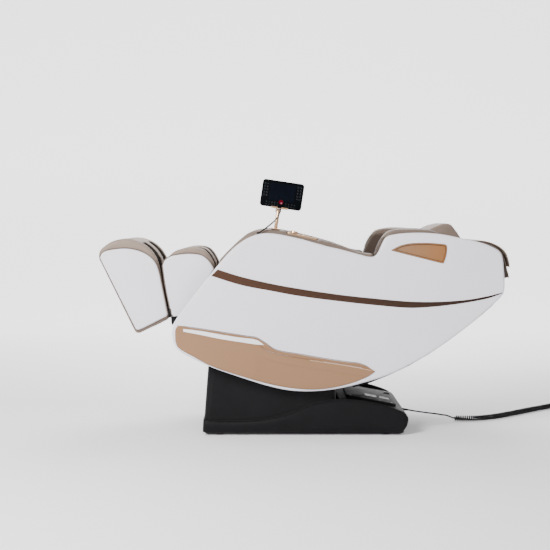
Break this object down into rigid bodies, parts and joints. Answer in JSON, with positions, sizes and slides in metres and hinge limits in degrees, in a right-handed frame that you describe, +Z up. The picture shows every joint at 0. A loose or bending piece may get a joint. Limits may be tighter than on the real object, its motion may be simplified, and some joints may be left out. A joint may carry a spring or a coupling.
{
  "type": "massage chair",
  "caption": "Zero-gravity massage chair with a tilting pod on a low base, swinging leg rest with foot wells, roller carriage and arm-mounted touch controller.",
  "frame": {"origin": "on the floor, under the middle of the chair, measured without its mains cord", "axes": "+X to the head end, +Y to the sitter's right, +Z up"},
  "size_m": [2.3028, 0.9596, 1.1536],
  "materials": {
    "white_shell": "satin",
    "gold_trim": "satin",
    "bronze_stripe": "satin",
    "taupe_leather": "satin",
    "black_plastic": "satin",
    "grey_plastic": "satin",
    "steel": "satin",
    "gold_metal": "satin",
    "roller_rubber": "matte",
    "foot_rubber": "matte",
    "cord_rubber": "satin",
    "tablet_glass": "gloss"
  },
  "bodies": {
    "base": {"base_skirt": "black_plastic", "base_column": "black_plastic", "rear_cover": "grey_plastic", "base_frame": "steel", "recline_shaft": "steel", "power_inlet": "black_plastic", "front_left_foot": "foot_rubber", "front_right_foot": "foot_rubber", "rear_left_foot": "foot_rubber", "rear_right_foot": "foot_rubber", "power_lead": "cord_rubber", "curly_cord": "cord_rubber", "cord_tail": "cord_rubber", "mains_plug": "cord_rubber"},
    "power_switch": {"power_switch": "black_plastic"},
    "actuator_body": {"actuator_body": "steel"},
    "actuator_rod": {"actuator_rod": "steel"},
    "pod": {"left_shell": "white_shell", "right_shell": "white_shell", "left_lower_trim": "gold_trim", "right_lower_trim": "gold_trim", "left_stripe": "bronze_stripe", "right_stripe": "bronze_stripe", "left_fin": "gold_trim", "right_fin": "gold_trim", "left_arm_pad": "taupe_leather", "right_arm_pad": "taupe_leather", "left_shoulder_pad": "taupe_leather", "right_shoulder_pad": "taupe_leather", "left_rail": "steel", "right_rail": "steel", "seat_cushion": "taupe_leather", "back_cushion": "taupe_leather", "head_pillow": "taupe_leather", "head_flap": "taupe_leather", "seat_frame": "steel", "back_cover": "black_plastic", "control_box": "grey_plastic", "air_pump": "grey_plastic", "key_plate": "gold_metal", "post_plate": "gold_metal", "tablet_cable": "cord_rubber"},
    "key_dial": {"key_dial": "gold_metal"},
    "key_button": {"key_button": "gold_metal"},
    "carriage": {"massage_carriage": "black_plastic"},
    "lower_left_roller": {"lower_left_roller": "roller_rubber"},
    "lower_right_roller": {"lower_right_roller": "roller_rubber"},
    "upper_left_roller": {"upper_left_roller": "roller_rubber"},
    "upper_right_roller": {"upper_right_roller": "roller_rubber"},
    "calf_rest": {"calf_pad": "taupe_leather", "calf_frame": "steel", "left_calf_panel": "white_shell", "right_calf_panel": "white_shell"},
    "foot_rest": {"foot_pad": "taupe_leather", "foot_frame": "steel", "left_foot_panel": "white_shell", "right_foot_panel": "white_shell"},
    "tablet_post": {"tablet_post": "gold_metal"},
    "tablet_head": {"tablet_clamp": "gold_metal", "tablet": "tablet_glass"}
  },
  "joints": [
    {"name": "recline", "type": "hinge", "parent": "base", "child": "pod", "pos_m": [-0.095, 0, 0.34], "axis": [0, -1, 0], "range_deg": [0, 24]},
    {"name": "actuator_tilt", "type": "hinge", "parent": "base", "child": "actuator_body", "pos_m": [0.075, 0, 0.06], "axis": [0, -1, 0], "range_deg": [0, 6.9]},
    {"name": "actuator_stroke", "type": "slide", "parent": "actuator_body", "child": "actuator_rod", "axis": [0.0869, 0, 0.9962], "range_m": [0, 0.076]},
    {"name": "legrest_swing", "type": "hinge", "parent": "pod", "child": "calf_rest", "pos_m": [-0.407, 0, 0.678], "axis": [0, -1, 0], "range_deg": [0, 30]},
    {"name": "footrest_extend", "type": "slide", "parent": "calf_rest", "child": "foot_rest", "axis": [-0.9781, 0, -0.2079], "range_m": [0, 0.09]},
    {"name": "carriage_travel", "type": "slide", "parent": "pod", "child": "carriage", "axis": [0.9563, 0, 0.2924], "range_m": [-0.2, 0.24]},
    {"name": "lower_left_roller_spin", "type": "hinge", "parent": "carriage", "child": "lower_left_roller", "pos_m": [0.39036, -0.0625, 0.59669], "axis": [0, 1, 0], "continuous": true},
    {"name": "lower_right_roller_spin", "type": "hinge", "parent": "carriage", "child": "lower_right_roller", "pos_m": [0.39036, 0.0625, 0.59669], "axis": [0, 1, 0], "continuous": true},
    {"name": "upper_left_roller_spin", "type": "hinge", "parent": "carriage", "child": "upper_left_roller", "pos_m": [0.47069, -0.0625, 0.62125], "axis": [0, 1, 0], "continuous": true},
    {"name": "upper_right_roller_spin", "type": "hinge", "parent": "carriage", "child": "upper_right_roller", "pos_m": [0.47069, 0.0625, 0.62125], "axis": [0, 1, 0], "continuous": true},
    {"name": "tablet_swivel", "type": "hinge", "parent": "pod", "child": "tablet_post", "pos_m": [-0.118, -0.3, 0.9375], "axis": [0.1478, 0, 0.989], "range_deg": [-15, 100], "deforming": ["tablet_cable"]},
    {"name": "tablet_tilt", "type": "hinge", "parent": "tablet_post", "child": "tablet_head", "pos_m": [-0.1063, -0.3, 1.0156], "axis": [0.989, 0, -0.1478], "range_deg": [-25, 25], "deforming": ["tablet_cable"]},
    {"name": "key_dial_turn", "type": "hinge", "parent": "pod", "child": "key_dial", "pos_m": [-0.0381, -0.31, 0.90772], "axis": [0.2164, 0, 0.9763], "range_deg": [-140, 140]},
    {"name": "key_button_press", "type": "slide", "parent": "pod", "child": "key_button", "axis": [-0.2164, 0, -0.9763], "range_m": [0, 0.0015], "stiffness_N_per_m": 400, "springref_m": -0.001},
    {"name": "power_switch_rock", "type": "hinge", "parent": "base", "child": "power_switch", "pos_m": [0.425, 0.113, 0.116], "axis": [0, 1, 0], "range_deg": [-7, 7]}
  ],
  "couplings": [
    {"joint": "actuator_tilt", "follows": "recline", "ratio": 0.2833},
    {"joint": "actuator_stroke", "follows": "recline", "m_per_rad": 0.1783}
  ]
}
